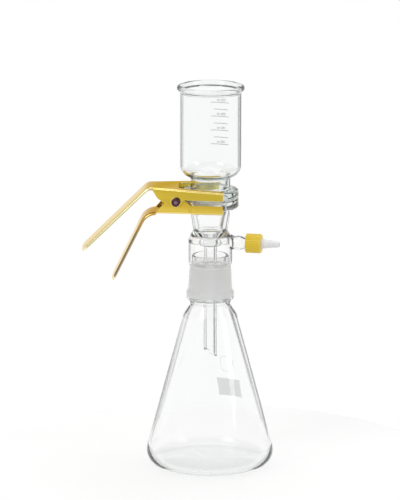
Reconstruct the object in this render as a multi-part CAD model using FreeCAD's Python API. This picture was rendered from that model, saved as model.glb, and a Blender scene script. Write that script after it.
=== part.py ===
import FreeCAD, Part
import os
from math import acos, atan2, cos, degrees, pi, radians, sin, sqrt, tan

from FreeCAD import Placement, Rotation, Vector

# Glass vacuum filtration unit, in millimetres.
# The origin is the centre of the flask's base on the table. Z is up. The clamp's handles point
# along -X, and the vacuum take-off points along +X, turned a little towards -Y.

# ---------------------------------------------------------------- driving dimensions
# Conical flask with a ground male neck
flask_toe_radius = 75.1          # where the cone's line would meet the table
flask_corner_radius = 18.0       # rounding between base and cone
flask_shoulder_radius = 29.3     # where the cone's line meets the shoulder's line
flask_shoulder_height = 169.7
flask_shoulder_rounding = 14.0
flask_waist_radius = 21.8
flask_waist_height = 181.0
flask_wall = 3.0
flask_floor = 4.5
neck_bore_radius = 18.0
neck_rim_length = 12.7           # clear glass above the ground zone
neck_rim_wall = 2.1

# Ground joint, taper 1 in 10 on the diameter
joint_large_diameter = 45.0
joint_length = 40.0
joint_taper = 0.1
joint_bottom_height = 184.0
joint_gap = 0.05                 # radial, between the ground faces

# Glass base: flange, cup, jacket, side arm, socket and drip tube in one piece
split_height = 300.0             # middle of the membrane
flange_radius = 30.7
flange_thickness = 10.6
flange_edge_rounding = 3.0
cup_top_radius = 22.3
cup_bottom_radius = 18.8
cup_bottom_height = 264.0
cup_bore_top_radius = 18.6
cup_bore_bottom_radius = 13.2
cup_bore_bottom_height = 262.0
jacket_radius = 24.1
jacket_wall = 1.6
jacket_top_height = 256.0
jacket_bottom_height = 229.0
shoulder_weld = 4.5                # thicker glass inside the jacket's shoulder
socket_wall = 2.1
socket_bottom_height = 186.5
socket_bead_radius = 26.3
socket_bead_height = 192.2
drip_radius = 7.15
drip_wall = 1.8
drip_start_height = 249.0
drip_tip_height = 122.7
drip_bevel = 8.5                 # how much shorter the far side of the tip is

# Side arm and hose connection
arm_height = 251.3
arm_yaw = 12.0                   # degrees towards -Y
arm_radius = 6.1
arm_bore_radius = 4.0
arm_root_radius = 8.8            # where the arm leaves the jacket
arm_waist_radius = 7.4
arm_bulge_radius = 8.3           # blown bulge between jacket and cap
arm_wall = 1.8
arm_end = 52.1                   # distance of the glass end from the unit's axis
thread_radius = 6.95
thread_length = 9.5
cap_radius = 10.6
cap_length = 16.7
cap_wall = 1.6
cap_rib_count = 36
cap_rib_depth = 0.45
cap_thread_gap = 0.25            # radial, between glass thread and cap
cap_hole_gap = 0.2               # radial, between cap and nozzle
seal_thickness = 1.9
seal_inner_radius = 4.4
nozzle_flange_thickness = 1.4
nozzle_hub_radius = 5.5
nozzle_hub_length = 2.4          # outside the cap
nozzle_length = 19.9             # outside the cap
nozzle_bore_radius = 2.0
nozzle_root_radius = 4.7
nozzle_tip_radius = 2.8
nozzle_barb_depth = 0.4
nozzle_barb_count = 3
face_gap = 0.05                  # between flat faces that are pressed together

# Sintered glass support and membrane
frit_radius = 20.0
frit_thickness = 4.5
frit_gap = 0.03                  # radial
membrane_radius = 23.5
membrane_thickness = 0.2

# Funnel
funnel_radius = 33.5
funnel_wall = 2.0
funnel_neck_radius = 21.8
funnel_neck_bore_radius = 19.0
funnel_neck_height = 323.0
funnel_bowl_height = 328.9       # where the bowl's floor meets the side
funnel_bowl_rounding = 12.0
funnel_top_height = 424.6
funnel_rim_radius = 36.85
funnel_rim_flare = 7.6           # height of the flare below the top

# Clamp: two sheet-metal jaws on one rivet
sheet = 1.8
sheet_bend_radius = 2.6          # outside of the long bends
pin_x = -37.8
pin_radius = 2.5
pin_gap = 0.05
jaw_close_tilt = 1.8             # degrees that each closed jaw leans towards the flanges
jaw_seat_x = 5.5                 # furthest point of the flange's flat under the fork
jaw_seat_gap = 0.06
jaw_front_x = 13.2
jaw_half_width = 35.0            # outside, at the unit's axis
jaw_splay = 0.25                 # half-width lost per millimetre towards the handles
fork_arm_width = 9.2
fork_notch_x = -35.0
upper_slot_start = 9.5           # distance in front of the rivet
upper_slot_rear = 2.8            # height above the rivet where the slot starts
upper_slot_front = 4.8           # and at the front end
lower_slot_start = 15.5
lower_slot_rear = 3.7
lower_slot_front = 4.1
ear_radius = 8.0
lower_ear_radius = 5.2
nest_gap = 1.15                  # between the nested ears of the two jaws
upper_bend_radius = 11.5
upper_bend_angle = 46.1
upper_bend_x = -69.3             # where web and handle lines meet
upper_handle_length = 101.3
lower_bend_radius = 19.0
lower_bend_angle = 62.0
lower_bend_x = -71.4
lower_handle_length = 85.3
bend_lead = 1.5                  # straight sheet on each side of a handle's bend
handle_lip = 3.1                 # depth of the handle's rolled sides, sheet included
handle_tip_taper = 2.0           # half-width lost along a handle
handle_tip_rounding = 11.0

# Rivet and torsion spring
rivet_head_radius = 4.7
rivet_head_height = 2.2
rivet_head_gap = 0.3
spring_wire_radius = 0.9
spring_coil_radius = 4.2
spring_turns = 5
spring_pitch = 2.0
spring_leg_length = 17.5
spring_leg_angle = 18.0

# ---------------------------------------------------------------- derived sizes
half_membrane = membrane_thickness / 2
base_top = split_height - half_membrane
base_flange_bottom = base_top - flange_thickness
funnel_bottom = split_height + half_membrane
funnel_flange_top = funnel_bottom + flange_thickness
joint_top_height = joint_bottom_height + joint_length
neck_top = joint_top_height + neck_rim_length
neck_rim_radius = neck_bore_radius + neck_rim_wall
jaw_seat_height = half_membrane + flange_thickness + jaw_seat_gap
jaw_inner_height = (jaw_seat_height + (jaw_seat_x - pin_x) * sin(radians(jaw_close_tilt))) \
    / cos(radians(jaw_close_tilt))
jaw_height = jaw_inner_height + sheet
nest_step = sheet + nest_gap
arm_direction = Vector(cos(radians(arm_yaw)), -sin(radians(arm_yaw)), 0)


# ---------------------------------------------------------------- outline helpers
def rounded_wire(corners, to_space):
    """Closed wire through corners (a, b) or (a, b, radius), each rounded by its radius."""
    count = len(corners)
    starts = []
    ends = []
    middles = []
    for i in range(count):
        here = Vector(corners[i][0], corners[i][1], 0)
        before = Vector(corners[i - 1][0], corners[i - 1][1], 0)
        after = Vector(corners[(i + 1) % count][0], corners[(i + 1) % count][1], 0)
        radius = corners[i][2] if len(corners[i]) > 2 else 0
        back = (before - here).normalize()
        on = (after - here).normalize()
        if radius == 0:
            starts.append(here)
            ends.append(here)
            middles.append(None)
            continue
        half = acos(max(-1, min(1, back.dot(on)))) / 2
        reach = radius / tan(half)
        inward = (back + on).normalize()
        starts.append(here + back * reach)
        ends.append(here + on * reach)
        middles.append(here + inward * (radius / sin(half) - radius))
    edges = []
    for i in range(count):
        if middles[i] is not None:
            arc_points = [to_space(p.x, p.y) for p in (starts[i], middles[i], ends[i])]
            edges.append(Part.Arc(*arc_points).toShape())
        a = to_space(ends[i].x, ends[i].y)
        b = to_space(starts[(i + 1) % count].x, starts[(i + 1) % count].y)
        if a.distanceToPoint(b) > 1e-6:
            edges.append(Part.makeLine(a, b))
    return Part.Wire(edges)


def side_view(a, b):
    return Vector(a, 0, b)


def plan_view(a, b):
    return Vector(a, b, 0)


def turned(corners):
    """Solid of revolution about Z from corners (radius, height, rounding)."""
    face = Part.Face(rounded_wire(corners, side_view))
    return face.revolve(Vector(0, 0, 0), Vector(0, 0, 1), 360)


def side_prism(corners, reach):
    """Side-view outline extruded along Y from -reach to reach."""
    face = Part.Face(rounded_wire(corners, side_view))
    face.translate(Vector(0, -reach, 0))
    return face.extrude(Vector(0, 2 * reach, 0))


def plan_prism(corners, low, high):
    """Plan-view outline extruded along Z from low to high."""
    face = Part.Face(rounded_wire(corners, plan_view))
    face.translate(Vector(0, 0, low))
    return face.extrude(Vector(0, 0, high - low))


def mirrored_outline(half):
    """Corners (x, y, rounding) with positive y, followed by their mirror images."""
    other = [(corner[0], -corner[1]) + tuple(corner[2:]) for corner in reversed(half)]
    return list(half) + other


def on_arm(shape):
    """Stand a shape turned about Z on the side arm's axis, with Z along the arm."""
    turn = Rotation(Vector(0, 0, 1), arm_direction)
    shape.Placement = Placement(Vector(0, 0, arm_height), turn).multiply(shape.Placement)
    return shape


def joint_radius(height):
    """Radius of the ground taper at a height."""
    return (joint_large_diameter - joint_taper * (height - joint_bottom_height)) / 2


# ---------------------------------------------------------------- flask
def crossing(first, second):
    """Point where two lines meet; a line is (radius at height 0, radius gained per height)."""
    height = (second[0] - first[0]) / (first[1] - second[1])
    return first[0] + first[1] * height, height


def line_through(a, b):
    slope = (b[0] - a[0]) / (b[1] - a[1])
    return a[0] - slope * a[1], slope


def line_inside(line, wall):
    return line[0] - wall * sqrt(1 + line[1] ** 2), line[1]


def make_flask():
    cone = line_through((flask_toe_radius, 0), (flask_shoulder_radius, flask_shoulder_height))
    shoulder = line_through((flask_shoulder_radius, flask_shoulder_height),
                            (flask_waist_radius, flask_waist_height))
    inner_cone = line_inside(cone, flask_wall)
    inner_shoulder = line_inside(shoulder, flask_wall)
    throat_radius = neck_bore_radius + 1.0
    throat_height = (throat_radius - inner_shoulder[0]) / inner_shoulder[1]
    inner_bend_radius, inner_bend_height = crossing(inner_cone, inner_shoulder)
    floor_radius = inner_cone[0] + inner_cone[1] * flask_floor
    rim_rounding = neck_rim_wall * 0.45
    return turned([
        (0, 0),
        (flask_toe_radius, 0, flask_corner_radius),
        (flask_shoulder_radius, flask_shoulder_height, flask_shoulder_rounding),
        (flask_waist_radius, flask_waist_height, 5),
        (flask_waist_radius, joint_bottom_height - 0.7),
        (joint_radius(joint_bottom_height), joint_bottom_height),
        (joint_radius(joint_top_height), joint_top_height),
        (neck_rim_radius, joint_top_height + 0.4),
        (neck_rim_radius, neck_top, rim_rounding),
        (neck_bore_radius, neck_top, rim_rounding),
        (neck_bore_radius, joint_top_height),
        (throat_radius, throat_height, 5),
        (inner_bend_radius, inner_bend_height, flask_shoulder_rounding - flask_wall),
        (floor_radius, flask_floor, flask_corner_radius - flask_wall),
        (0, flask_floor),
    ])


# ---------------------------------------------------------------- glass base
def make_filter_base():
    socket_top_radius = joint_radius(joint_top_height) + joint_gap + socket_wall
    socket_low_radius = joint_radius(socket_bottom_height) + joint_gap + socket_wall - 0.2
    bead_low = 2 * socket_bead_height - socket_bottom_height
    body = turned([
        (0, base_top),
        (flange_radius, base_top, 1.2),
        (flange_radius, base_flange_bottom, flange_edge_rounding),
        (cup_top_radius, base_flange_bottom, 2.2),
        (cup_bottom_radius, cup_bottom_height, 3),
        (jacket_radius, jacket_top_height, 6),
        (jacket_radius, jacket_bottom_height, 4),
        (socket_top_radius, joint_top_height + 1, 4),
        (socket_low_radius, bead_low, 1.5),
        (socket_bead_radius, bead_low - 1.5, 3),
        (socket_bead_radius, socket_bottom_height, 3.5),
        (socket_low_radius - 2, socket_bottom_height),
        (drip_radius, socket_bottom_height),
        (drip_radius, drip_tip_height),
        (0, drip_tip_height),
    ])
    flare_start = jacket_radius - jacket_wall
    arm = on_arm(turned([
        (0, flare_start),
        (arm_root_radius, flare_start),
        (arm_waist_radius, flare_start + 3.5, 3),
        (arm_bulge_radius, flare_start + 9.8, 7),
        (arm_radius, flare_start + 18, 5),
        (arm_radius, arm_end - thread_length - 0.6),
        (thread_radius, arm_end - thread_length),
        (thread_radius, arm_end - 1.6),
        (arm_radius, arm_end - 0.8),
        (arm_radius, arm_end, 0.4),
        (0, arm_end),
    ]))
    cup_bore = turned([
        (0, base_top + 1),
        (frit_radius, base_top + 1),
        (frit_radius, base_top - frit_thickness),
        (cup_bore_top_radius, base_top - frit_thickness),
        (cup_bore_top_radius - 1.2, base_flange_bottom - 6, 25),
        (cup_bore_bottom_radius, cup_bore_bottom_height, 1.5),
        (drip_radius - drip_wall, drip_start_height, 6),
        (drip_radius - drip_wall, drip_tip_height - 1),
        (0, drip_tip_height - 1),
    ])
    jacket_bore = jacket_radius - jacket_wall
    seal_outer_radius = cup_bore_bottom_radius + 3.0
    vacuum_space = turned([
        (drip_radius, socket_bottom_height - 1),
        (joint_radius(socket_bottom_height - 1) + joint_gap, socket_bottom_height - 1),
        (joint_radius(joint_top_height) + joint_gap, joint_top_height),
        (jacket_bore, joint_top_height + 5, 3),
        (jacket_bore, jacket_top_height - 1 - shoulder_weld, 3),
        (jacket_bore - 2.9, cup_bore_bottom_height - 0.9 - shoulder_weld, 2),
        (seal_outer_radius + 1.2, cup_bore_bottom_height - 3.4, 1),
        (seal_outer_radius - 0.8, cup_bore_bottom_height - 4.4, 2),
        (drip_radius, drip_start_height - 2.5, 5),
    ])
    bore_end = (jacket_bore + drip_radius) / 2
    arm_bore = on_arm(turned([
        (0, bore_end),
        (arm_waist_radius - arm_wall, bore_end),
        (arm_waist_radius - arm_wall, flare_start + 3.5, 3),
        (arm_bulge_radius - arm_wall, flare_start + 9.8, 6),
        (arm_bore_radius, flare_start + 17, 4),
        (arm_bore_radius, arm_end + 1),
        (0, arm_end + 1),
    ]))
    base = body.fuse(arm).cut(cup_bore).cut(vacuum_space).cut(arm_bore)
    bevel = side_prism([
        (-drip_radius - 1, drip_tip_height + drip_bevel * (1 + 1 / (2 * drip_radius))),
        (drip_radius + 1, drip_tip_height - drip_bevel / (2 * drip_radius)),
        (-drip_radius - 1, drip_tip_height - 5),
    ], 2 * drip_radius)
    return base.cut(bevel).removeSplitter()


def make_support_frit():
    return Part.makeCylinder(frit_radius - frit_gap, frit_thickness,
                             Vector(0, 0, base_top - frit_thickness))


def make_membrane():
    return Part.makeCylinder(membrane_radius, membrane_thickness, Vector(0, 0, base_top))


# ---------------------------------------------------------------- funnel
def make_funnel():
    bore = funnel_radius - funnel_wall
    bead = (funnel_rim_radius - bore) / 2
    return turned([
        (funnel_neck_bore_radius, funnel_bottom),
        (flange_radius, funnel_bottom, 1.2),
        (flange_radius, funnel_flange_top, flange_edge_rounding),
        (funnel_neck_radius, funnel_flange_top, 2.2),
        (funnel_neck_radius, funnel_neck_height, 3),
        (funnel_radius, funnel_bowl_height, funnel_bowl_rounding),
        (funnel_radius, funnel_top_height - funnel_rim_flare, 3.5),
        (funnel_rim_radius, funnel_top_height - 1.75 * bead, 2.2),
        (funnel_rim_radius, funnel_top_height, 0.98 * bead),
        (bore, funnel_top_height, 0.98 * bead),
        (bore, funnel_bowl_height + funnel_wall * 0.6, funnel_bowl_rounding - funnel_wall),
        (funnel_neck_bore_radius, funnel_neck_height + funnel_wall * 0.6, 4),
    ])


# ---------------------------------------------------------------- cap, seal and nozzle
seal_start = arm_end + face_gap
nozzle_start = seal_start + seal_thickness + face_gap
cap_wall_start = nozzle_start + nozzle_flange_thickness + face_gap
cap_end = cap_wall_start + cap_wall
cap_start = cap_end - cap_length
cap_bore_radius = thread_radius + cap_thread_gap


def make_screw_cap():
    ribs = []
    for i in range(cap_rib_count):
        middle = 2 * pi * i / cap_rib_count
        quarter = pi / cap_rib_count / 2
        for angle, radius in ((middle - 1.2 * quarter, cap_radius),
                              (middle + 1.2 * quarter, cap_radius),
                              (middle + 1.7 * quarter, cap_radius - cap_rib_depth),
                              (middle + 2.3 * quarter, cap_radius - cap_rib_depth)):
            ribs.append((radius * cos(angle), radius * sin(angle)))
    ribbed = plan_prism(ribs, cap_start, cap_end)
    softened = turned([
        (0, cap_start),
        (cap_radius + 1, cap_start, 0),
        (cap_radius + 1, cap_end - 2.4),
        (cap_radius - 0.9, cap_end, 0.8),
        (0, cap_end),
    ])
    hollow = turned([
        (0, cap_start - 1),
        (cap_bore_radius, cap_start - 1),
        (cap_bore_radius, cap_wall_start),
        (nozzle_hub_radius + cap_hole_gap, cap_wall_start),
        (nozzle_hub_radius + cap_hole_gap, cap_end + 1),
        (0, cap_end + 1),
    ])
    return on_arm(ribbed.common(softened).cut(hollow))


def make_seal_ring():
    return on_arm(turned([
        (seal_inner_radius, seal_start, 0.3),
        (cap_bore_radius - 0.4, seal_start, 0.3),
        (cap_bore_radius - 0.4, seal_start + seal_thickness, 0.3),
        (seal_inner_radius, seal_start + seal_thickness, 0.3),
    ]))


def make_hose_nozzle():
    stem_start = cap_end + nozzle_hub_length
    tip = cap_end + nozzle_length
    barb_length = (tip - stem_start) / nozzle_barb_count
    corners = [
        (nozzle_bore_radius, nozzle_start),
        (cap_bore_radius - 0.3, nozzle_start),
        (cap_bore_radius - 0.3, nozzle_start + nozzle_flange_thickness),
        (nozzle_hub_radius, nozzle_start + nozzle_flange_thickness),
        (nozzle_hub_radius, stem_start, 0.5),
    ]
    slope = (nozzle_root_radius - nozzle_tip_radius) / nozzle_barb_count
    corners.append((nozzle_root_radius, stem_start))
    for i in range(nozzle_barb_count):
        start = stem_start + i * barb_length
        stem = nozzle_root_radius - i * slope
        corners.append((stem + nozzle_barb_depth, start + 0.25 * barb_length, 0.25))
        corners.append((stem - slope, start + barb_length))
    corners[-1] = (nozzle_tip_radius, tip, 0.4)
    corners.append((nozzle_bore_radius, tip))
    return on_arm(turned(corners))


# ---------------------------------------------------------------- clamp jaws
def half_width(x, step=0):
    """Outer half-width of a jaw at a distance x from the unit's axis."""
    return jaw_half_width + jaw_splay * x - step


def jaw_plan(inset, rear, front, step, beyond=0):
    """Plan outline of a jaw, from the rear to the front, drawn about the rivet's axis.

    Its sides run parallel for a short way in front of the handle's bend, and then splay.
    """
    across = inset * sqrt(1 + jaw_splay ** 2)
    rear_width = half_width(pin_x + rear + bend_lead, step) - inset
    splay_start = rear + bend_lead + (across - inset) / jaw_splay
    half = [(rear - beyond, rear_width), (splay_start, rear_width, 4)]
    if step:
        nest_end = ear_radius + 5.0
        joggle = 4.5
        half.append((nest_end, half_width(pin_x + nest_end, step) - across, 4))
        half.append((nest_end + joggle, half_width(pin_x + nest_end + joggle) - across, 4))
    half.append((front + beyond, half_width(pin_x + front + beyond) - across))
    return mirrored_outline(half)


def long_top_edges(solid, height, reach):
    """Edges in the top face that run along the jaw's sides."""
    chosen = []
    for edge in solid.Edges:
        box = edge.BoundBox
        on_top = abs(box.ZMin - height) < 1e-4 and abs(box.ZMax - height) < 1e-4
        across = box.XLength < 1e-4 and box.YLength > reach
        if on_top and not across:
            chosen.append(edge)
    return chosen


def jaw_channel(rear, step, skirt):
    """Flat front half of a jaw: web on top, skirts down the sides, trimmed to an outline."""
    front = jaw_front_x - pin_x
    low = -ear_radius - 3
    block = plan_prism(jaw_plan(0, rear, front, step), low, jaw_height)
    block = block.makeFillet(sheet_bend_radius, long_top_edges(block, jaw_height, 20))
    hollow = plan_prism(jaw_plan(sheet, rear, front, step, 5), low - 1, jaw_height - sheet)
    hollow = hollow.makeFillet(sheet_bend_radius - sheet,
                               long_top_edges(hollow, jaw_height - sheet, 20))
    channel = block.cut(hollow).common(side_prism(skirt, 2 * jaw_half_width))
    across = fork_arm_width * sqrt(1 + jaw_splay ** 2)
    notch_rear = fork_notch_x - pin_x
    notch = plan_prism(mirrored_outline([
        (notch_rear, half_width(fork_notch_x) - across, 7),
        (front + 5, half_width(jaw_front_x + 5) - across),
    ]), jaw_height - sheet - 1, jaw_height + 1)
    eye = Part.makeCylinder(pin_radius + pin_gap, 4 * jaw_half_width,
                            Vector(0, -2 * jaw_half_width, 0), Vector(0, 1, 0))
    return channel.cut(notch).cut(eye)


def make_handle(wide, bend_radius, bend_angle, length):
    """Bend and handle of a jaw. The smooth side is on top, and the lips point down.

    It starts at the origin, runs along -X and turns down by bend_angle.
    """
    section = rounded_wire(mirrored_outline([
        (-sheet, wide - sheet, sheet_bend_radius - sheet),
        (-handle_lip, wide - sheet),
        (-handle_lip, wide),
        (0, wide, sheet_bend_radius),
    ]), lambda depth, across: Vector(0, across, depth))
    bend = Part.Face(section).revolve(Vector(0, 0, -bend_radius), Vector(0, -1, 0), bend_angle)

    tip_wide = wide - handle_tip_taper
    rounding = handle_tip_rounding
    outline = mirrored_outline([(0, wide), (bend_lead, wide, 60), (length, tip_wide, rounding)])
    block = plan_prism(outline, -handle_lip, 0)
    block = block.makeFillet(sheet_bend_radius, [
        edge for edge in block.Edges
        if edge.BoundBox.ZMin > -1e-4 and edge.BoundBox.XMax > 1e-3])
    inset = mirrored_outline([
        (-5, wide - sheet),
        (bend_lead, wide - sheet, 60),
        (length - sheet, tip_wide - sheet, rounding - sheet),
    ])
    hollow = plan_prism(inset, -handle_lip - 1, -sheet)
    hollow = hollow.makeFillet(sheet_bend_radius - sheet, [
        edge for edge in hollow.Edges
        if abs(edge.BoundBox.ZMin + sheet) < 1e-4 and edge.BoundBox.ZMax > -sheet - 1e-4
        and edge.BoundBox.XMax > 0])
    plate = block.cut(hollow)
    down = radians(bend_angle)
    along = Vector(-cos(down), 0, -sin(down))
    up = Vector(-sin(down), 0, cos(down))
    start = Vector(-bend_radius * sin(down), 0, bend_radius * (cos(down) - 1))
    plate.Placement = Placement(start, Rotation(along, up.cross(along), up, "ZXY"))
    return bend.fuse(plate)


def bend_reach(radius, angle):
    """Distance from a bend's corner to where its arc starts."""
    return radius * tan(radians(angle) / 2)


def stand_jaw(jaw, lean):
    """Lean a jaw about the rivet's axis and carry it to the rivet's place."""
    turn = Rotation(Vector(0, 1, 0), lean)
    jaw.Placement = Placement(Vector(pin_x, 0, split_height), turn).multiply(jaw.Placement)
    return jaw


def make_upper_jaw():
    reach = bend_reach(upper_bend_radius, upper_bend_angle)
    rear = upper_bend_x - pin_x + reach
    lip_edge = jaw_height - handle_lip
    skirt = [
        (rear, jaw_height + 1),
        (rear, lip_edge),
        (rear + 1.0, lip_edge, 1),
        (rear + 6.5, 2.6, 9),
        (-ear_radius - 6, -1.3, 3),
        (0.5, -ear_radius - 1.6, 7.5),
        (upper_slot_start, upper_slot_rear, 0.8),
        (jaw_front_x - pin_x, upper_slot_front),
        (jaw_front_x - pin_x, jaw_height + 1),
    ]
    channel = jaw_channel(rear, 0, skirt)
    handle = make_handle(half_width(pin_x + rear + bend_lead), upper_bend_radius,
                         upper_bend_angle, upper_handle_length - reach)
    handle.translate(Vector(rear, 0, jaw_height))
    return stand_jaw(channel.fuse(handle).removeSplitter(), jaw_close_tilt)


def make_lower_jaw():
    reach = bend_reach(lower_bend_radius, lower_bend_angle)
    rear = lower_bend_x - pin_x + reach
    skirt = [
        (rear, jaw_height + 1),
        (rear, jaw_height - sheet - 0.6),
        (rear + 0.5, jaw_height - sheet - 0.6),
        (-lower_ear_radius - 5, 0, 3),
        (0, -lower_ear_radius - 1.2, 4),
        (lower_slot_start, lower_slot_rear, 2),
        (jaw_front_x - pin_x, lower_slot_front),
        (jaw_front_x - pin_x, jaw_height + 1),
    ]
    channel = jaw_channel(rear, nest_step, skirt)
    channel = channel.mirror(Vector(0, 0, 0), Vector(0, 0, 1))
    handle = make_handle(half_width(pin_x + rear + bend_lead, nest_step), lower_bend_radius,
                         lower_bend_angle, lower_handle_length - reach)
    handle.translate(Vector(rear, 0, -jaw_height + sheet))
    return stand_jaw(channel.fuse(handle).removeSplitter(), -jaw_close_tilt)


# ---------------------------------------------------------------- rivet and spring
def make_rivet():
    """Shank with two peened heads, whose undersides follow the splayed skirts."""
    face_y = half_width(pin_x)
    shank = Part.makeCylinder(pin_radius, 2 * face_y, Vector(0, -face_y, 0), Vector(0, 1, 0))
    top = face_y + jaw_splay * rivet_head_radius + rivet_head_gap + rivet_head_height
    dome = turned([
        (0, top - 8),
        (rivet_head_radius, top - 8),
        (rivet_head_radius, top - 0.9, 0.6),
        (rivet_head_radius * 0.62, top, 1.5),
        (rivet_head_radius * 0.3, top, 0.3),
        (rivet_head_radius * 0.24, top - 0.8),
        (0, top - 0.8),
    ])
    dome.rotate(Vector(0, 0, 0), Vector(1, 0, 0), -90)
    clear = rivet_head_gap * sqrt(1 + jaw_splay ** 2)
    behind = 2 * rivet_head_radius
    between = plan_prism([
        (-behind, 0),
        (behind, 0),
        (behind, half_width(pin_x + behind) + clear),
        (-behind, half_width(pin_x - behind) + clear),
    ], -behind, behind)
    head = dome.cut(between)
    other = head.mirror(Vector(0, 0, 0), Vector(0, 1, 0))
    neck = Part.makeCylinder(pin_radius, 2 * (face_y + 1.5), Vector(0, -face_y - 1.5, 0),
                             Vector(0, 1, 0))
    rivet = shank.fuse(neck).fuse(head).fuse(other).removeSplitter()
    rivet.translate(Vector(pin_x, 0, split_height))
    return rivet


def make_torsion_spring():
    """Coil round the rivet with one straight leg under each web."""
    lean = radians(90 - spring_leg_angle)
    sweep = 2 * pi * spring_turns + 2 * lean
    coil_length = spring_pitch * sweep / (2 * pi)
    rise = spring_pitch / (2 * pi * spring_coil_radius)
    coil = Part.makeHelix(spring_pitch, coil_length, spring_coil_radius)
    coil.rotate(Vector(0, 0, 0), Vector(0, 0, 1), degrees(-lean))
    coil.translate(Vector(0, 0, -coil_length / 2))

    def coil_point(angle, height):
        return Vector(spring_coil_radius * cos(angle), spring_coil_radius * sin(angle), height)

    def coil_tangent(angle):
        return Vector(-sin(angle), cos(angle), rise).normalize()

    first = coil_point(-lean, -coil_length / 2)
    last = coil_point(sweep - lean, coil_length / 2)
    first_end = first - coil_tangent(-lean) * spring_leg_length
    last_end = last + coil_tangent(sweep - lean) * spring_leg_length
    path = Part.Wire([Part.makeLine(first_end, first)] + coil.Edges
                     + [Part.makeLine(last, last_end)])
    wire = Part.Wire([Part.makeCircle(spring_wire_radius, first_end, coil_tangent(-lean))])
    spring = path.makePipeShell([wire], True, True)
    spring.rotate(Vector(0, 0, 0), Vector(1, 0, 0), 90)
    spring.translate(Vector(pin_x, 0, split_height))
    return spring


# ---------------------------------------------------------------- write the parts
PIECES = {
    "flask": make_flask,
    "filter_base": make_filter_base,
    "support_frit": make_support_frit,
    "membrane_filter": make_membrane,
    "funnel": make_funnel,
    "clamp_upper_jaw": make_upper_jaw,
    "clamp_lower_jaw": make_lower_jaw,
    "clamp_rivet": make_rivet,
    "clamp_spring": make_torsion_spring,
    "screw_cap": make_screw_cap,
    "seal_ring": make_seal_ring,
    "hose_nozzle": make_hose_nozzle,
}

os.makedirs("parts", exist_ok=True)
for name, make in PIECES.items():
    shape = make()
    shape.exportStep(os.path.join("parts", name + ".step"))
    print(name, len(shape.Solids), "solid", shape.isValid(), round(shape.Volume), "mm3")
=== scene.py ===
# %% [markdown]
# # A glass vacuum filtration unit
#
# This lesson dresses a measured model of a laboratory filtration unit: a conical flask, a glass
# base with a side arm, a graduated funnel, and a gold spring clamp that holds them together.
# The measured model comes first, as a fixed frame. It says where every piece sits and how it
# moves, and nothing in it is moved here. Each visible piece is then made again with more care,
# told which body it rides on, and given a finish made of shader nodes.

import math

import bmesh
import bpy
from mathutils import Matrix, Vector


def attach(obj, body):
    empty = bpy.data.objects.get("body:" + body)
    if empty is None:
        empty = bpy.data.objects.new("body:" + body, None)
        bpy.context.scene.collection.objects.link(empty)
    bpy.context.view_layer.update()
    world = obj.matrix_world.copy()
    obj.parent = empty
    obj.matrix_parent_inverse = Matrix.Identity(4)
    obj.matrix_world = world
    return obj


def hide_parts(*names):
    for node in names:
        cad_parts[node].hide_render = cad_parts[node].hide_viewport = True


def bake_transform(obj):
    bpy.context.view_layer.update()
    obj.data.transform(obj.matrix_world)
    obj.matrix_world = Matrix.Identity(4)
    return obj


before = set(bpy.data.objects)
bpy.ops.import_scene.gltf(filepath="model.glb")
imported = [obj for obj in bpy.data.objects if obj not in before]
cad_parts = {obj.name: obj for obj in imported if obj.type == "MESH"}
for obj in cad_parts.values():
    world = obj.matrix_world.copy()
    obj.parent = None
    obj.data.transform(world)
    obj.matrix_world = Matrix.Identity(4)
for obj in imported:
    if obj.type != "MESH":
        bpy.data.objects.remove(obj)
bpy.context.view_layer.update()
MM = 0.001
UNIT_BODY = "unit"


def mm(*lengths):
    """Lengths in millimetres, as the metres that Blender works in."""
    return [length * MM for length in lengths]


print("nodes:", sorted(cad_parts))

# %% [markdown]
# ## Camera
#
# The unit is seen from a little above and from far away, through a long lens, so its upright
# walls stay upright. A long lens is a narrow angle of view. The focal length could be guessed
# and tried, but it follows from a proportion: the lens is as many sensor heights long as the
# distance holds heights of what fills the picture. The three numbers of that proportion share
# one scale: the focal length, the picture's height, and how far the unit's axis stands beside
# the middle.

# %% Place the camera
CAMERA_DISTANCE = 4.1
CAMERA_HEIGHT = 1.125
PITCH_DOWN = math.radians(12.16)
ROLL = math.radians(0.13)
SENSOR_HEIGHT = 36
FOCAL, PICTURE_HEIGHT, AXIS_ASIDE = 3830, 500, 10.6

lens = bpy.data.cameras.new("studio_camera")
lens.sensor_width = SENSOR_HEIGHT
lens.lens = SENSOR_HEIGHT * (FOCAL / PICTURE_HEIGHT)
lens.clip_end = 60
camera = bpy.data.objects.new("studio_camera", lens)
bpy.context.collection.objects.link(camera)
camera.matrix_world = (
    Matrix.Translation((0, -CAMERA_DISTANCE, CAMERA_HEIGHT))
    @ Matrix.Rotation(math.atan(AXIS_ASIDE / FOCAL), 4, "Z")
    @ Matrix.Rotation(math.pi / 2 - PITCH_DOWN, 4, "X")
    @ Matrix.Rotation(ROLL, 4, "Z")
)
bpy.context.scene.camera = camera
print("lens", round(lens.lens, 1), "mm")

# %% [markdown]
# ## Writing shaders as sums
#
# A node tree is tedious to wire by hand. The small class below wraps a socket, so that an
# expression such as `1 - mask * 0.5` adds the Math nodes by itself. A ramp is a smooth step, and
# a band is a rise and a fall, which is how nearly every mask in this lesson is made.


# %% A wrapper for sockets
def plug(tree, slot, value):
    """Link a value to a socket, or write it there when it is a plain number or colour."""
    if isinstance(value, Link):
        tree.links.new(value.socket, slot)
    else:
        slot.default_value = value


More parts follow.
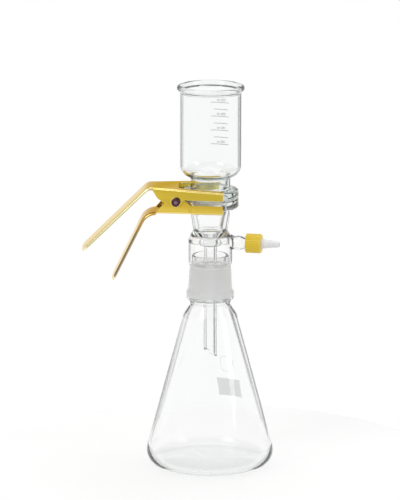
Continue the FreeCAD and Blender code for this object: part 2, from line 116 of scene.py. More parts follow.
class Link:
    """A node's output that can be used in a sum."""

    def __init__(self, tree, socket):
        self.tree = tree
        self.socket = socket

    def maths(self, operation, *values):
        node = self.tree.nodes.new("ShaderNodeMath")
        node.operation = operation
        for slot, value in zip(node.inputs, values):
            plug(self.tree, slot, value)
        return Link(self.tree, node.outputs[0])

    def __add__(self, other):
        return self.maths("ADD", self, other)

    def __sub__(self, other):
        return self.maths("SUBTRACT", self, other)

    def __rsub__(self, other):
        return self.maths("SUBTRACT", other, self)

    def __mul__(self, other):
        return self.maths("MULTIPLY", self, other)

    __radd__ = __add__
    __rmul__ = __mul__

    def call(self, operation, *others):
        """Any other operation of the Math node, such as ABSOLUTE."""
        return self.maths(operation, self, *others)

    def ramp(self, low, high):
        """0 below low, 1 above high, and a smooth step between."""
        node = self.tree.nodes.new("ShaderNodeMapRange")
        node.interpolation_type = "SMOOTHSTEP"
        self.tree.links.new(self.socket, node.inputs["Value"])
        node.inputs["From Min"].default_value = low
        node.inputs["From Max"].default_value = high
        return Link(self.tree, node.outputs["Result"])

    def band(self, rise, fall):
        """1 between two smooth steps, and 0 outside them."""
        return self.ramp(*rise) * (1 - self.ramp(*fall))


print("sockets can be added, multiplied and stepped")

# %% [markdown]
# Every other node comes from one method, which takes the node's kind, its settings and the
# values of its sockets. A socket is named with an underscore for each space, or by its number
# after an n. Colours are mixed with Mix nodes, because a Math node would turn them grey.


# %% One method for every node
class Shader:
    """A material's or world's node tree, with one method that adds any node."""

    def __init__(self, owner):
        owner.use_nodes = True
        self.tree = owner.node_tree
        self.tree.nodes.clear()

    def add(self, kind, output=0, settings=(), **values):
        node = self.tree.nodes.new("ShaderNode" + kind)
        for name, value in dict(settings).items():
            setattr(node, name, value)
        for name, value in values.items():
            numbered = name[0] == "n" and name[1:].isdigit()
            key = int(name[1:]) if numbered else name.replace("_", " ")
            plug(self.tree, node.inputs[key], value)
        return Link(self.tree, node.outputs[output])

    def mix(self, factor, first, second):
        """A colour between two colours. A colour Mix node keeps them on sockets 6 and 7."""
        return self.add("Mix", 2, {"data_type": "RGBA"}, n0=factor, n6=first, n7=second)

    def place(self):
        """Object coordinates, which are the frame's own metres on every piece."""
        return self.add("TexCoord", "Object")

    def axes(self, vector):
        """A vector's three numbers."""
        split = self.add("SeparateXYZ", Vector=vector).socket.node
        return [Link(self.tree, socket) for socket in split.outputs]

    def ray(self, kind):
        """1 for one kind of ray, such as Is Camera Ray, and 0 for the others."""
        return self.add("LightPath", kind)

    def noise(self, scale, detail=3.0):
        return self.add("TexNoise", Vector=self.place(), Scale=scale, Detail=detail,
                        Roughness=0.5)

    def relief(self, height, strength, depth):
        """A normal that is tilted by a height, for roughness too fine to model."""
        return self.add("Bump", Height=height, Strength=strength, Distance=depth)

    def finish(self, surface, volume=None, kind="OutputMaterial"):
        output = self.tree.nodes.new("ShaderNode" + kind)
        self.tree.links.new(surface.socket, output.inputs["Surface"])
        if volume:
            self.tree.links.new(volume.socket, output.inputs["Volume"])


def new_material(name):
    material = bpy.data.materials.new(name)
    return material, Shader(material)


print("shader helpers ready")

# %% [markdown]
# ## Studio
#
# Clear glass shows almost nothing of itself: it shows bent pictures of the room. On a plain
# white set it would vanish, so photographers stand narrow dark cards behind the table, out of
# the picture. The glass's edges bend them into view as the fine dark lines that draw its shape.
# Real cards could be modelled, but they would shade the table and show up in other views. Here
# the world stands in for them, for refracted rays only: white, with two soft upright cards
# behind the unit, a dark roof overhead, and a low screen that is darker on the right. The cards
# come from the cosine of four times the bearing, which is a soft stripe every quarter turn, and
# the stripes at the sides and in front are faded out.

# %% Stand the cards, the roof and the screen
CARDS = ((math.radians(20), 0.18), (math.radians(-25), 0.65))
CARD_REPEATS = 4
CARD_HALF = math.radians(8.0)
CARD_SOFTNESS = 0.15
CARDS_END = (math.radians(40), math.radians(50))
ROOF_EDGE = (0.25, 0.40)
ROOF_LEVEL = 0.15
SCREEN_NEAR = (math.radians(10), math.radians(14))
SCREEN_FAR = (math.radians(30), math.radians(36))
SCREEN_FOOT = (-0.30, -0.24)
SCREEN_HEAD = (-0.175, -0.155)
SCREEN_DARKNESS = 0.5
SCREEN_DARKER_RIGHT = 0.3
MIDDLE = (-0.05, 0.05)

world = bpy.data.worlds.new("studio")
bpy.context.scene.world = world
shader = Shader(world)
east, north, up = shader.axes(shader.add("TexCoord", "Generated"))
bearing = east.call("ARCTAN2", north)
side = bearing.call("ABSOLUTE")
ahead = 1 - side.ramp(*CARDS_END)
card_edge = math.cos(CARD_HALF * CARD_REPEATS)
through = 1
for turn, level in CARDS:
    stripe = ((bearing - turn) * CARD_REPEATS).call("COSINE")
    card = stripe.ramp(card_edge - CARD_SOFTNESS, card_edge + CARD_SOFTNESS)
    through = through - ahead * card * (1 - level)
through = through * (1 - up.ramp(*ROOF_EDGE) * (1 - ROOF_LEVEL))
screen = side.band(SCREEN_NEAR, SCREEN_FAR) * up.band(SCREEN_FOOT, SCREEN_HEAD)
through = through * (1 - screen * (east.ramp(*MIDDLE) * SCREEN_DARKER_RIGHT + SCREEN_DARKNESS))
print("cards at", [round(math.degrees(turn)) for turn, level in CARDS], "degrees")

# %% [markdown]
# Metal mirrors a different room: white behind the table, a little darker behind the camera and
# overhead, so that its faces differ by the way they are turned. Matt surfaces get one even
# level, at which a colour shows about as it is written, and the camera itself sees pure white.

# %% Level the room
WORLD_LEVEL = 0.70
ROOM_EDGE = (0.3, 0.9)
ROOM_LEVEL = 0.72
CEILING_EDGE = (0.03, 0.22)
CEILING_LEVEL = 0.7

room = (0 - north).ramp(*ROOM_EDGE)
ceiling = up.ramp(*CEILING_EDGE) * (1 - room)
mirror = 1 - room * (1 - ROOM_LEVEL) - ceiling * (1 - CEILING_LEVEL)
strength = WORLD_LEVEL + shader.ray("Is Glossy Ray") * (mirror - WORLD_LEVEL)
strength = strength + shader.ray("Is Transmission Ray") * (through - strength)
strength = strength + shader.ray("Is Camera Ray") * (1 - strength)
shader.finish(shader.add("Background", Color=(1, 1, 1, 1), Strength=strength),
              kind="OutputWorld")
print("world ready, level", WORLD_LEVEL)

# %% [markdown]
# Three soft boxes give the unit its soft shadow and long highlights: a key light on the left, a
# weaker fill on the right and a wide one overhead. Point lamps would be simpler, but a small
# lamp makes hard sparks on glass.


# %% Hang the soft boxes
def softbox(name, place, target, size, power):
    light = bpy.data.lights.new(name, "AREA")
    light.shape = "RECTANGLE"
    light.size, light.size_y = size
    light.energy = power
    lamp = bpy.data.objects.new(name, light)
    bpy.context.collection.objects.link(lamp)
    aim = (Vector(target) - Vector(place)).to_track_quat("-Z", "Y")
    lamp.matrix_world = Matrix.Translation(place) @ aim.to_matrix().to_4x4()
    print(name, power, "watts")


softbox("key_softbox", place=(-1.5, -1.6, 1.9), target=(0, 0, 0.25), size=(1.1, 1.1), power=14)
softbox("fill_softbox", place=(1.9, -1.0, 1.2), target=(0, 0, 0.25), size=(0.7, 1.4), power=6)
softbox("top_softbox", place=(0.1, 0.5, 2.4), target=(0, 0, 0.2), size=(1.6, 1.6), power=10)

# %% [markdown]
# The table is one round white sheet. It is lit like the unit and keeps its shadow, and what is
# added for camera, mirror and glass rays only lifts the white to the edge of pure white, so the
# sheet's end can't be told from the room.

# %% Lay the table
TABLE_RADIUS = 0.26
TABLE_LIFT = 0.09

bm = bmesh.new()
bmesh.ops.create_circle(bm, cap_ends=True, segments=96, radius=TABLE_RADIUS)
mesh = bpy.data.meshes.new("table_sheet")
bm.to_mesh(mesh)
bm.free()
table = bpy.data.objects.new("table_sheet", mesh)
bpy.context.collection.objects.link(table)
white_sheet, shader = new_material("white_sheet")
lifted = shader.ray("Is Camera Ray").call("MAXIMUM", shader.ray("Is Glossy Ray").call(
    "MAXIMUM", shader.ray("Is Transmission Ray")))
paper = shader.add("BsdfDiffuse", Color=(0.93, 0.93, 0.93, 1))
glow = shader.add("Emission", Color=(1, 1, 1, 1), Strength=lifted * TABLE_LIFT)
shader.finish(shader.add("AddShader", n0=paper, n1=glow))
table.data.materials.append(white_sheet)
print("table", 2 * TABLE_RADIUS, "m across")

# %% [markdown]
# ## Turned pieces
#
# Glassware is blown or drawn on a lathe, so nearly every piece is a solid of revolution. Its
# rings could be worked out point by point, or a curve could be revolved by a modifier. Here the
# half section is drawn as a flat polygon of plain corners, and Bevel with `affect="VERTICES"`
# rounds each corner by its own radius, so the numbers stay the ones a glassblower would use.
# Spin then sweeps the outline once round the axis.

# %% Draw an outline and spin it
ROUND_STEPS = 8
SMALL_ROUND, SMALL_ROUND_STEPS = 1.1 * MM, 4
SAME_POINT = 0.004 * MM
SPECK = 0.001 * MM


def outline(corners):
    """A closed edge loop in the XZ plane, from corners (r, z) or (r, z, rounding) in mm."""
    bm = bmesh.new()
    points = [bm.verts.new((corner[0] * MM, 0, corner[1] * MM)) for corner in corners]
    bm.faces.new(points)
    for i, corner in enumerate(corners):
        if len(corner) < 3:
            continue
        radius = corner[2] * MM
        here = Vector(corner[:2])
        before = Vector(corners[i - 1][:2]) - here
        after = Vector(corners[(i + 1) % len(corners)][:2]) - here
        half = before.angle(after) / 2
        bmesh.ops.bevel(bm, geom=[points[i]], offset=radius / math.tan(half),
                        offset_type="OFFSET", profile=0.5, affect="VERTICES", material=-1,
                        segments=ROUND_STEPS if radius > SMALL_ROUND else SMALL_ROUND_STEPS,
                        clamp_overlap=False)
    bmesh.ops.delete(bm, geom=list(bm.faces), context="FACES_ONLY")
    return bm


def spun(bm, steps=144):
    """Spin an outline once round the Z axis and close it."""
    bmesh.ops.spin(bm, geom=list(bm.verts) + list(bm.edges), cent=(0, 0, 0), axis=(0, 0, 1),
                   dvec=(0, 0, 0), angle=math.tau, steps=steps, use_merge=True,
                   use_duplicate=False)
    bmesh.ops.remove_doubles(bm, verts=bm.verts, dist=SAME_POINT)
    bmesh.ops.dissolve_degenerate(bm, edges=bm.edges, dist=SPECK)
    bmesh.ops.recalc_face_normals(bm, faces=bm.faces)
    return bm


print("outlines are rounded in", ROUND_STEPS, "steps")

# %% [markdown]
# Every mesh becomes a piece in the same way. Its faces are smooth except across sharp edges.
# Long walls and small roundings meet in one smooth surface on the turned pieces, so a Weighted
# Normal modifier lets the long faces set the shading where they meet. The piece is then tied to
# the body it rides on, and the measured nodes it stands for are hidden.


# %% Make a piece of a mesh
def as_piece(name, bm, body, *nodes, sharp=32, weighted=True):
    """Turn a bmesh into an object that rides on a body and stands for the frame's nodes."""
    for face in bm.faces:
        face.smooth = True
    for edge in bm.edges:
        if edge.is_manifold and edge.calc_face_angle() > math.radians(sharp):
            edge.smooth = False
    mesh = bpy.data.meshes.new(name)
    bm.to_mesh(mesh)
    bm.free()
    piece = bpy.data.objects.new(name, mesh)
    bpy.context.collection.objects.link(piece)
    if weighted:
        modifier = piece.modifiers.new("even_shading", "WEIGHTED_NORMAL")
        modifier.keep_sharp = True
        modifier.weight = 100
    if body:
        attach(piece, body)
    if nodes:
        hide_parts(*nodes)
    print(name, len(mesh.polygons), "faces")
    return piece


def finish_of(piece, *materials):
    piece.data.materials.clear()
    for material in materials:
        piece.data.materials.append(material)


print("pieces can be made and finished")

# %% [markdown]
# ## Clear glass
#
# Borosilicate glass bends light with an index of 1.47 and takes a trace of it away on long
# paths, which is why a thick rim looks darker than a thin wall. The surface is fire-polished,
# so it has no roughness, only very faint ripples where the wall was drawn. Tinting the surface
# would darken thin and thick walls alike, so the loss is an absorbing volume. The funnel's is
# denser, so that its thin walls still show. Glass made this way would throw a solid shadow, so
# rays to the lamps and from matt surfaces pass straight through.

# %% Mix the clear glass
GLASS_INDEX = 1.47
RIPPLE_SCALE, RIPPLE_STRENGTH, RIPPLE_DEPTH = 38, 0.02, 2 * MM


def glass(name, density):
    material, shader = new_material(name)
    ripples = shader.relief(shader.noise(RIPPLE_SCALE, 2.0), RIPPLE_STRENGTH, RIPPLE_DEPTH)
    body = shader.add("BsdfPrincipled", Base_Color=(1, 1, 1, 1), Roughness=0.0,
                      IOR=GLASS_INDEX, Transmission_Weight=1.0, Normal=ripples)
    open_to_room = shader.add("BsdfTransparent", Color=(1, 1, 1, 1))
    open_to_lamps = shader.add("BsdfTransparent", Color=(0.97, 0.97, 0.97, 1))
    surface = shader.add("MixShader", n0=shader.ray("Is Diffuse Ray"), n1=body,
                         n2=open_to_room)
    surface = shader.add("MixShader", n0=shader.ray("Is Shadow Ray"), n1=surface,
                         n2=open_to_lamps)
    absorbed = shader.add("VolumeAbsorption", Color=(0.80, 0.84, 0.83, 1), Density=density)
    shader.finish(surface, absorbed)
    return material


clear_glass = glass("clear_glass", 22.0)
bowl_glass = glass("bowl_glass", 70.0)
print("clear glass, index", GLASS_INDEX)

# %% [markdown]
# ## Ground glass
#
# The joint between flask and base is ground with grit, so both cones are matt and white, and
# light goes through them scattered. Here the two cones all but touch, so one matt finish on the
# base's side stands for both. It is a rough surface mixed with a translucent one, and it covers
# the cone only: at its two ends the grinding fades into clear glass.

# %% Mix the ground glass
JOINT_LOW, JOINT_HIGH = 184.0, 224.0
GROUND_STARTS, GROUND_ENDS = mm(188.5, 191.5), mm(223.8, 230.0)
GROUND_SHARE = 0.88
GLOW_SHARE = 0.38
FROST_WHITE = (0.99, 0.985, 0.98, 1)

ground_glass, shader = new_material("ground_glass")
grit = shader.relief(shader.noise(2200, 2.0), 0.3, 0.3 * MM)
frost = shader.add("BsdfPrincipled", Base_Color=FROST_WHITE, Roughness=0.6, IOR=GLASS_INDEX,
                   Normal=grit)
glowing = shader.add("BsdfTranslucent", Color=FROST_WHITE)
matt = shader.add("MixShader", n0=GLOW_SHARE, n1=frost, n2=glowing)
bare = shader.add("BsdfPrincipled", Roughness=0.0, IOR=GLASS_INDEX, Transmission_Weight=1.0)
height = shader.axes(shader.place())[2]
zone = height.band(GROUND_STARTS, GROUND_ENDS)
shader.finish(shader.add("MixShader", n0=zone * GROUND_SHARE, n1=bare, n2=matt))
print("ground glass from", JOINT_LOW, "to", JOINT_HIGH, "mm")

# %% [markdown]
# ## Conical flask
#
# The flask is one thick-walled piece, blown in a mould. Its inner wall follows the outer one at
# 3 mm, the floor is thicker, and the neck carries a ground cone with a ring of clear glass above
# it. A Solidify modifier would give every wall the same thickness, so both walls are drawn in
# one outline, up the outside and down the inside.

# %% Make the flask
JOINT_WIDE, JOINT_TAPER = 45.0, 0.1
FLASK_TOE, FLASK_SHOULDER, SHOULDER_HEIGHT = 75.1, 29.3, 169.7


def joint_radius(z):
    """The ground cone's radius at a height, in millimetres."""
    return (JOINT_WIDE - JOINT_TAPER * (z - JOINT_LOW)) / 2


flask = as_piece("flask_glass", spun(outline([
    (0, 0),
    (FLASK_TOE, 0, 18),
    (FLASK_SHOULDER, SHOULDER_HEIGHT, 14),
    (21.8, 181, 5),
    (21.8, 183.3),
    (joint_radius(JOINT_LOW), JOINT_LOW),
    (joint_radius(JOINT_HIGH), JOINT_HIGH),
    (20.1, 224.4),
    (20.1, 236.7, 0.94),
    (18, 236.7, 0.94),
    (18, 224),
    (19, 182.5, 5),
    (26.2, 168.6, 11),
    (70.8, 4.5, 15),
    (0, 4.5),
])), UNIT_BODY, "flask")
finish_of(flask, clear_glass)

# %% [markdown]
# ## Glass base
#
# A glassblower joins this piece from tubes at the flame: flange, cup, jacket, socket and drip
# tube fuse into one. Five meshes could be joined, but the walls inside the joins would show in
# glass. The half section is one closed polygon, so one spin makes it.

# %% Turn the base
FLANGE_OUTER, FLANGE_THICK = 30.7, 10.6
BASE_TOP, SEAT = 299.9, 295.4
JACKET_OUTER, JACKET_BORE = 24.1, 22.5
SOCKET_GAP = 0.05
SOCKET_MOUTH = 186.5
DRIP_OUTER, DRIP_INNER = 7.15, 5.35
mouth_radius = joint_radius(SOCKET_MOUTH) + SOCKET_GAP
top_radius = joint_radius(JOINT_HIGH) + SOCKET_GAP

bm = spun(outline([
    (20, BASE_TOP),
    (FLANGE_OUTER, BASE_TOP, 1.2),
    (FLANGE_OUTER, BASE_TOP - FLANGE_THICK, 3),
    (22.3, BASE_TOP - FLANGE_THICK, 2.2),
    (18.8, 264, 3),
    (JACKET_OUTER, 256, 6),
    (JACKET_OUTER, 229, 4),
    (top_radius + 2.1, 225, 4),
    (mouth_radius + 1.9, 197.9, 1.5),
    (26.3, 196.4, 3),
    (26.3, SOCKET_MOUTH, 3.5),
    (mouth_radius, SOCKET_MOUTH),
    (top_radius, JOINT_HIGH),
    (JACKET_BORE, 229, 3),
    (JACKET_BORE, 250.5, 3),
    (19.6, 256.6, 2),
    (17.4, 258.6, 1),
    (15.4, 257.6, 2),
    (DRIP_OUTER, 246.5, 5),
    (DRIP_OUTER, 118),
    (DRIP_INNER, 118),
    (DRIP_INNER, 249, 6),
    (13.2, 262, 1.5),
    (17.4, 283.3, 25),
    (18.6, SEAT),
    (20, SEAT),
]))
print("base turned,", len(bm.faces), "faces")

# %% [markdown]
# The drip tube's tip is ground off at a slant, so that drops leave it at one point. A spun shape
# can't slant, so `bisect_plane` cuts the tube after the spin, and its two open rings, the outer
# wall's and the bore's, are bridged by a flat face.

# %% Slant the drip tip
TIP_LOW, TIP_BEVEL = 122.7, 8.5

slant = Vector((TIP_BEVEL, 0, 2 * DRIP_OUTER))
cut = bmesh.ops.bisect_plane(
    bm, geom=list(bm.verts) + list(bm.edges) + list(bm.faces), dist=0.0005 * MM,
    plane_co=(0, 0, (TIP_LOW + TIP_BEVEL / 2) * MM), plane_no=-slant, clear_outer=True)
rings = [item for item in cut["geom_cut"] if isinstance(item, bmesh.types.BMEdge)]
bmesh.ops.bridge_loops(bm, edges=rings)
bmesh.ops.recalc_face_normals(bm, faces=bm.faces)
base = as_piece("base_glass", bm, UNIT_BODY, "filter_base")

# %% [markdown]
# The side arm is blown out of the jacket and drawn down to a thin tube. It is turned round the
# same Z axis and swung onto its own axis. Two glass shapes that only overlap would show the
# walls inside, so a Boolean joins it, and a second Boolean opens its bore into the jacket. The
# Boolean has to come before the Weighted Normal modifier, so it moves to the top of the list.

# %% Join the side arm
ARM_HEIGHT = 251.3
ARM_YAW = math.radians(12)
ARM_END = 52.1
ARM_DIRECTION = Vector((math.cos(ARM_YAW), -math.sin(ARM_YAW), 0))
ON_ARM = Matrix.Translation((0, 0, ARM_HEIGHT * MM)) @ ARM_DIRECTION.to_track_quat(
    "Z", "Y").to_matrix().to_4x4()


def on_arm(bm):
    """Swing a shape from the Z axis onto the side arm's axis."""
    bmesh.ops.transform(bm, matrix=ON_ARM, verts=bm.verts)
    return bm


def combine(piece, bm, operation):
    """Join or cut a piece with a second closed shape."""
    mesh = bpy.data.meshes.new("tool")
    bm.to_mesh(mesh)
    bm.free()
    tool = bpy.data.objects.new("tool", mesh)
    bpy.context.collection.objects.link(tool)
    modifier = piece.modifiers.new("join", "BOOLEAN")
    modifier.operation = operation
    modifier.solver = "EXACT"
    modifier.object = tool
    while piece.modifiers[0] != modifier:
        bpy.context.view_layer.update()
        piece.modifiers.move(len(piece.modifiers) - 1, 0)
    shading = piece.modifiers[-1]
    shading.show_viewport = False
    bpy.context.view_layer.update()
    result = bpy.data.meshes.new_from_object(
        piece.evaluated_get(bpy.context.evaluated_depsgraph_get()))
    shading.show_viewport = True
    piece.modifiers.remove(modifier)
    piece.data = result
    bpy.data.objects.remove(tool)
    print(operation, len(result.polygons), "faces")


combine(base, on_arm(spun(outline([
    (0, 23.0),
    (8.8, 23.0),
    (7.4, 26.0, 3),
    (8.3, 32.3, 7),
    (6.1, 40.5, 5),
    (6.1, ARM_END, 0.5),
    (0, ARM_END),
]), steps=96)), "UNION")
combine(base, on_arm(spun(outline([
    (0, 15),
    (5.6, 15),
    (5.6, 26.0, 3),
    (6.5, 32.3, 6),
    (4, 39.5, 4),
    (4, 53.5),
    (0, 53.5),
]), steps=64)), "DIFFERENCE")

# %% [markdown]
# The base wears two finishes. Its inner faces along the socket, and a little way up into the
# jacket where the grinding fades out, take the ground glass, and all its other faces are clear.

# %% Give the base its two finishes
GROUND_TO = 231.5
GROUND_INNERMOST = 20
ON_WALL = 0.3


def is_ground(centre):
    """Whether a face's centre lies on the socket's inner wall."""
    z, r = centre.z / MM, math.hypot(centre.x, centre.y) / MM
    wall = joint_radius(z) + SOCKET_GAP
    if z > JOINT_HIGH:
        wall = max(wall, JACKET_BORE)
    return SOCKET_MOUTH < z < GROUND_TO and GROUND_INNERMOST < r < wall + ON_WALL


finish_of(base, clear_glass, ground_glass)
for face in base.data.polygons:
    if is_ground(face.center):
        face.material_index = 1
print(sum(face.material_index for face in base.data.polygons), "ground faces")

# %% [markdown]
# The thread for the cap is a rounded ridge that winds round the arm's end. A Screw modifier
# would make it too. Here its section is a few vertices, and a spin that climbs along the axis by
# one pitch a turn makes the helix.

# %% Wind the thread
THREAD_START = 42.6
THREAD_PITCH = 2.5
THREAD_TURNS = 3.0
THREAD_STEPS = int(THREAD_TURNS * 48)
RIDGE_MIDDLE = THREAD_START + 0.9
RIDGE = ((5.9, -0.95), (6.55, -0.62), (6.9, -0.25), (6.9, 0.25), (6.55, 0.62), (5.9, 0.95))

bm = bmesh.new()
ridge = bm.faces.new([bm.verts.new((r * MM, 0, (RIDGE_MIDDLE + z) * MM)) for r, z in RIDGE])
bmesh.ops.spin(bm, geom=[ridge], cent=(0, 0, 0), axis=(0, 0, 1),
               dvec=(0, 0, THREAD_PITCH * MM * THREAD_TURNS / THREAD_STEPS),
               angle=math.tau * THREAD_TURNS, steps=THREAD_STEPS, use_merge=False,
               use_duplicate=False)
bmesh.ops.recalc_face_normals(bm, faces=bm.faces)
thread = as_piece("arm_thread", on_arm(bm), UNIT_BODY)
finish_of(thread, clear_glass)

# %% [markdown]
# ## Funnel
#
# The funnel holds what is to be filtered. Its flange is ground flat where it presses on the
# membrane, the bowl's side flares out at the top, and the rim is melted into a rolled bead. It
# is one closed outline again, with the bead's two roundings almost meeting.

# %% Make the funnel
FUNNEL_BOTTOM = 300.1
BOWL_OUTER, BOWL_INNER = 33.5, 31.5
RIM_TOP, RIM_RADIUS = 424.6, 36.85
RIM_BEAD = (RIM_RADIUS - BOWL_INNER) / 2

funnel = as_piece("funnel_glass", spun(outline([
    (19, FUNNEL_BOTTOM),
    (FLANGE_OUTER, FUNNEL_BOTTOM, 1.2),
    (FLANGE_OUTER, FUNNEL_BOTTOM + FLANGE_THICK, 3),
    (21.8, FUNNEL_BOTTOM + FLANGE_THICK, 2.2),
    (21.8, 323, 3),
    (BOWL_OUTER, 328.9, 12),
    (BOWL_OUTER, RIM_TOP - 7.6, 3.5),
    (RIM_RADIUS, RIM_TOP - 1.75 * RIM_BEAD, 2.2),
    (RIM_RADIUS, RIM_TOP, 0.98 * RIM_BEAD),
    (BOWL_INNER, RIM_TOP, 0.98 * RIM_BEAD),
    (BOWL_INNER, 330.1, 10),
    (19, 324.2, 1.2),
])), UNIT_BODY, "funnel")
finish_of(funnel, bowl_glass)

# %% [markdown]
# ## Plain finishes
#
# Enamel, membrane, plastic and silicone have no pattern, but none of them is one even colour. A
# helper lets noise move the colour between two near tones. Where the surface has a grain that
# can be felt, a finer noise tilts the normal.


# %% A helper for plain finishes
def mottled(name, scale, dark, pale, roughness, detail=3.0, grain=None):
    """Two tones blended by noise. A grain is its scale, its detail and its strength."""
    material, shader = new_material(name)
    colour = shader.mix(shader.noise(scale, detail), (*dark, 1), (*pale, 1))
    sockets = {"Base_Color": colour, "Roughness": roughness}
    if grain:
        fineness, grain_detail, strength = grain
        sockets["Normal"] = shader.relief(shader.noise(fineness, grain_detail), strength,
                                          0.2 * MM)
    shader.finish(shader.add("BsdfPrincipled", **sockets))
    return material


def grey(level):
    return level, level, level


print("plain finishes can be mixed")

# %% [markdown]
# ## Support disc and membrane
#
# The support is a disc of sintered glass: glass grains baked together until they touch, so it is
# white, matt and full of tiny pits. Modelled grains would be far too many, so Voronoi cells and
# noise tilt its surface. The membrane is a smooth white sheet a fifth of a millimetre thick.

# %% Make the disc and the membrane
sintered_glass, shader = new_material("sintered_glass")
grain = shader.noise(2600, 2.0)
cells = shader.add("TexVoronoi", "Distance", Vector=shader.place(), Scale=1900.0)
shader.finish(shader.add(
    "BsdfPrincipled", Base_Color=shader.mix(grain, (0.80, 0.80, 0.78, 1), (0.93, 0.93, 0.92, 1)),
    Roughness=0.75, Normal=shader.relief(grain * 0.6 + cells, 0.5, 0.4 * MM)))
membrane_sheet = mottled("membrane_sheet", 4200, (0.88, 0.88, 0.86), (0.95, 0.95, 0.94), 0.6,
                         grain=(4200, 3.0, 0.15))

disc = as_piece("sintered_disc", spun(outline([
    (0, SEAT), (19.97, SEAT, 0.2), (19.97, BASE_TOP, 0.1), (0, BASE_TOP)])),
    UNIT_BODY, "support_frit")
finish_of(disc, sintered_glass)
membrane = as_piece("membrane", spun(outline([
    (0, BASE_TOP), (23.5, BASE_TOP, 0.05), (23.5, FUNNEL_BOTTOM, 0.05), (0, FUNNEL_BOTTOM)])),
    UNIT_BODY, "membrane_filter")
finish_of(membrane, membrane_sheet)

# %% [markdown]
# ## Print on the glass
#
# The graduations are baked-on enamel, about a tenth of a millimetre high. They could be painted
# by a mask in the glass's own material, but enamel stands on the glass and hides what is behind
# it, so it is made as thin solid shapes. A line is a small rectangle spun through a small angle,
# which keeps it on the round wall.

# %% Print lines
PRINT_HEIGHT = 0.08
DEGREES_PER_STEP = 3

grey_enamel = mottled("grey_enamel", 900, grey(0.10), grey(0.17), 0.45)


def arc_bar(bm, radius, z, thick, start, end):
    """A curved printed bar between two bearings, in degrees, on a wall of that radius."""
    corners = [bm.verts.new((r * MM, 0, (z + dz) * MM)) for r, dz in (
        (radius, -thick / 2), (radius + PRINT_HEIGHT, -thick / 2),
        (radius + PRINT_HEIGHT, thick / 2), (radius, thick / 2))]
    face = bm.faces.new(corners)
    bmesh.ops.rotate(bm, verts=corners, cent=(0, 0, 0),
                     matrix=Matrix.Rotation(math.radians(start), 3, "Z"))
    bmesh.ops.spin(bm, geom=[face], cent=(0, 0, 0), axis=(0, 0, 1), dvec=(0, 0, 0),
                   angle=math.radians(end - start),
                   steps=max(2, int(abs(end - start) / DEGREES_PER_STEP)), use_merge=False,
                   use_duplicate=False)


print("lines stand", PRINT_HEIGHT, "mm proud")

# %% [markdown]
# The numbers are text turned to mesh. Each letter is filled, extruded and then wrapped: its
# width is read as an angle round the wall, and its thickness as a distance from the axis. A
# Shrinkwrap modifier would do nearly the same, but it would slant the letters' edges.


# %% Print numbers
def wrapped_text(bm, words, size, radius, z, bearing):
    """Text that stands on a wall, centred on a bearing, readable from outside."""
    curve = bpy.data.curves.new("words", "FONT")
    curve.body = words
    curve.size = size
    curve.align_x = "CENTER"
    curve.align_y = "CENTER"
    curve.resolution_u = 3
    text = bpy.data.objects.new("words", curve)
    bpy.context.collection.objects.link(text)
    bpy.context.view_layer.update()
    flat = bpy.data.meshes.new_from_object(
        text.evaluated_get(bpy.context.evaluated_depsgraph_get()))
    bpy.data.objects.remove(text)
    letters = bmesh.new()
    letters.from_mesh(flat)
    bmesh.ops.remove_doubles(letters, verts=letters.verts, dist=0.0001)
    front = bmesh.ops.extrude_face_region(letters, geom=list(letters.faces))
    raised = [item for item in front["geom"] if isinstance(item, bmesh.types.BMVert)]
    bmesh.ops.translate(letters, verts=raised, vec=(0, 0, PRINT_HEIGHT))
    for vert in letters.verts:
        angle = math.radians(bearing) + vert.co.x / radius
        reach = (radius + vert.co.z) * MM
        vert.co = (reach * math.cos(angle), reach * math.sin(angle), (z + vert.co.y) * MM)
    bmesh.ops.recalc_face_normals(letters, faces=letters.faces)
    wrapped = bpy.data.meshes.new("words")
    letters.to_mesh(wrapped)
    letters.free()
    bm.from_mesh(wrapped)


print("numbers can be wrapped")

# %% [markdown]
# The scale stands on the funnel's far side, so it is read through the glass. Every second line is
# long and carries a number above it, and the topmost line is the shortest. The marks differ only
# in height and reach, so one loop makes them all.

# %% Graduate the funnel
MARKS = 8
FIRST_MARK, FIRST_VOLUME = 353.9, 100
STEP_HEIGHT, STEP_VOLUME = 7.73, 25
LONG_MARK = (51.8, 89.8)
SHORT_MARK = (53.9, 84.0)
TOP_MARK = (53.9, 68.5)
LINE_THICK = 0.5
NUMBER_SIZE, NUMBER_RISE, NUMBER_BEARING = 3.9, 2.6, 68.5

bm = bmesh.new()
for i in range(MARKS):
    z = FIRST_MARK + i * STEP_HEIGHT
    is_long = i % 2 == 0
    reach = LONG_MARK if is_long else TOP_MARK if i == MARKS - 1 else SHORT_MARK
    arc_bar(bm, BOWL_OUTER, z, LINE_THICK, *reach)
    if is_long:
        wrapped_text(bm, f"{FIRST_VOLUME + STEP_VOLUME * i} ml", NUMBER_SIZE, BOWL_OUTER,
                     z + NUMBER_RISE, NUMBER_BEARING)
bmesh.ops.recalc_face_normals(bm, faces=bm.faces)
graduations = as_piece("funnel_graduations", bm, UNIT_BODY, weighted=False)
finish_of(graduations, grey_enamel)

# %% [markdown]
# The flask has a pale enamel patch to write on and a thin rounded frame above it, both on its
# far wall. A flat shape laid on the cone would cut through the glass, so every point of it is
# placed on the wall by one function, which reads the cone's radius from the height.

# %% Place points on the flask's wall
WALL_SLOPE = math.atan((FLASK_TOE - FLASK_SHOULDER) / SHOULDER_HEIGHT)

pale_enamel = mottled("pale_enamel", 900, grey(0.86), grey(0.93), 0.6)


def on_flask(across, z, lift, bearing):
    """A point of the flask's outer wall, at a distance across from a bearing."""
    radius = FLASK_TOE + (FLASK_SHOULDER - FLASK_TOE) * z / SHOULDER_HEIGHT
    angle = math.radians(bearing) + across / radius
    reach = radius + lift / math.cos(WALL_SLOPE)
    return (reach * math.cos(angle) * MM, reach * math.sin(angle) * MM, z * MM)


print("wall slopes", round(math.degrees(WALL_SLOPE), 1), "degrees")

